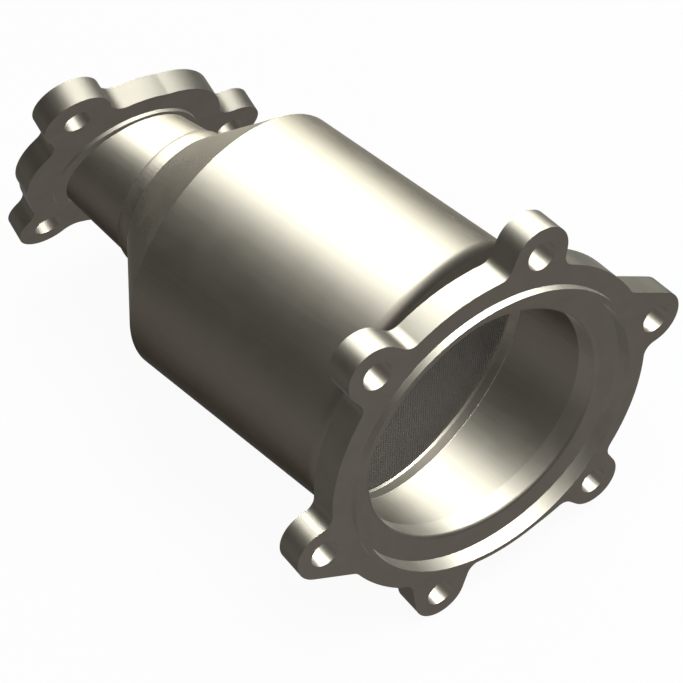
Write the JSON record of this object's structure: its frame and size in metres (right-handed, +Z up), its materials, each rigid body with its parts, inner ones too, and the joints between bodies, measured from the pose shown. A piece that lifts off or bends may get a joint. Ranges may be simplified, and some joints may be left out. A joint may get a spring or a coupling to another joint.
{
  "type": "catalytic converter",
  "caption": "Round catalytic converter with an oblique bolted outlet flange on a short sleeve and a coned, tapered inlet neck ending in a smaller oblique flange.",
  "frame": {"origin": "centre of the outlet flange's face, where the can's axis crosses it", "axes": "+Y runs along the can's axis from the outlet mouth to the inlet; +Z is up as the part stands in the picture; +X completes the frame"},
  "size_m": [0.1657, 0.2364, 0.1579],
  "materials": {
    "flange_steel": "machined and blasted stainless steel, satin, warm grey",
    "shell_steel": "smooth rolled stainless steel, satin with soft broad highlights",
    "inner_steel": "pressed stainless steel, satin",
    "weld_bead": "smooth weld bead, satin",
    "honeycomb": "washcoated ceramic honeycomb, matt; stands in for ceramic",
    "mat": "expanding ceramic fibre mat, matt",
    "wire_mesh": "knitted stainless wire"
  },
  "bodies": {
    "root": {"outlet_flange": "flange_steel", "outlet_sleeve": "shell_steel", "outlet_flange_weld": "weld_bead", "outlet_can_weld": "weld_bead", "can_shell": "shell_steel", "outlet_retaining_ring": "inner_steel", "outlet_mesh_seal": "wire_mesh", "substrate": "honeycomb", "support_mat": "mat", "inlet_mesh_seal": "wire_mesh", "inlet_retaining_ring": "inner_steel", "inlet_cone": "shell_steel", "inlet_cone_liner": "inner_steel", "cone_insulation": "mat", "neck_weld": "weld_bead", "inlet_neck": "shell_steel", "inlet_flange_weld": "weld_bead", "inlet_flange": "flange_steel"}
  },
  "joints": []
}
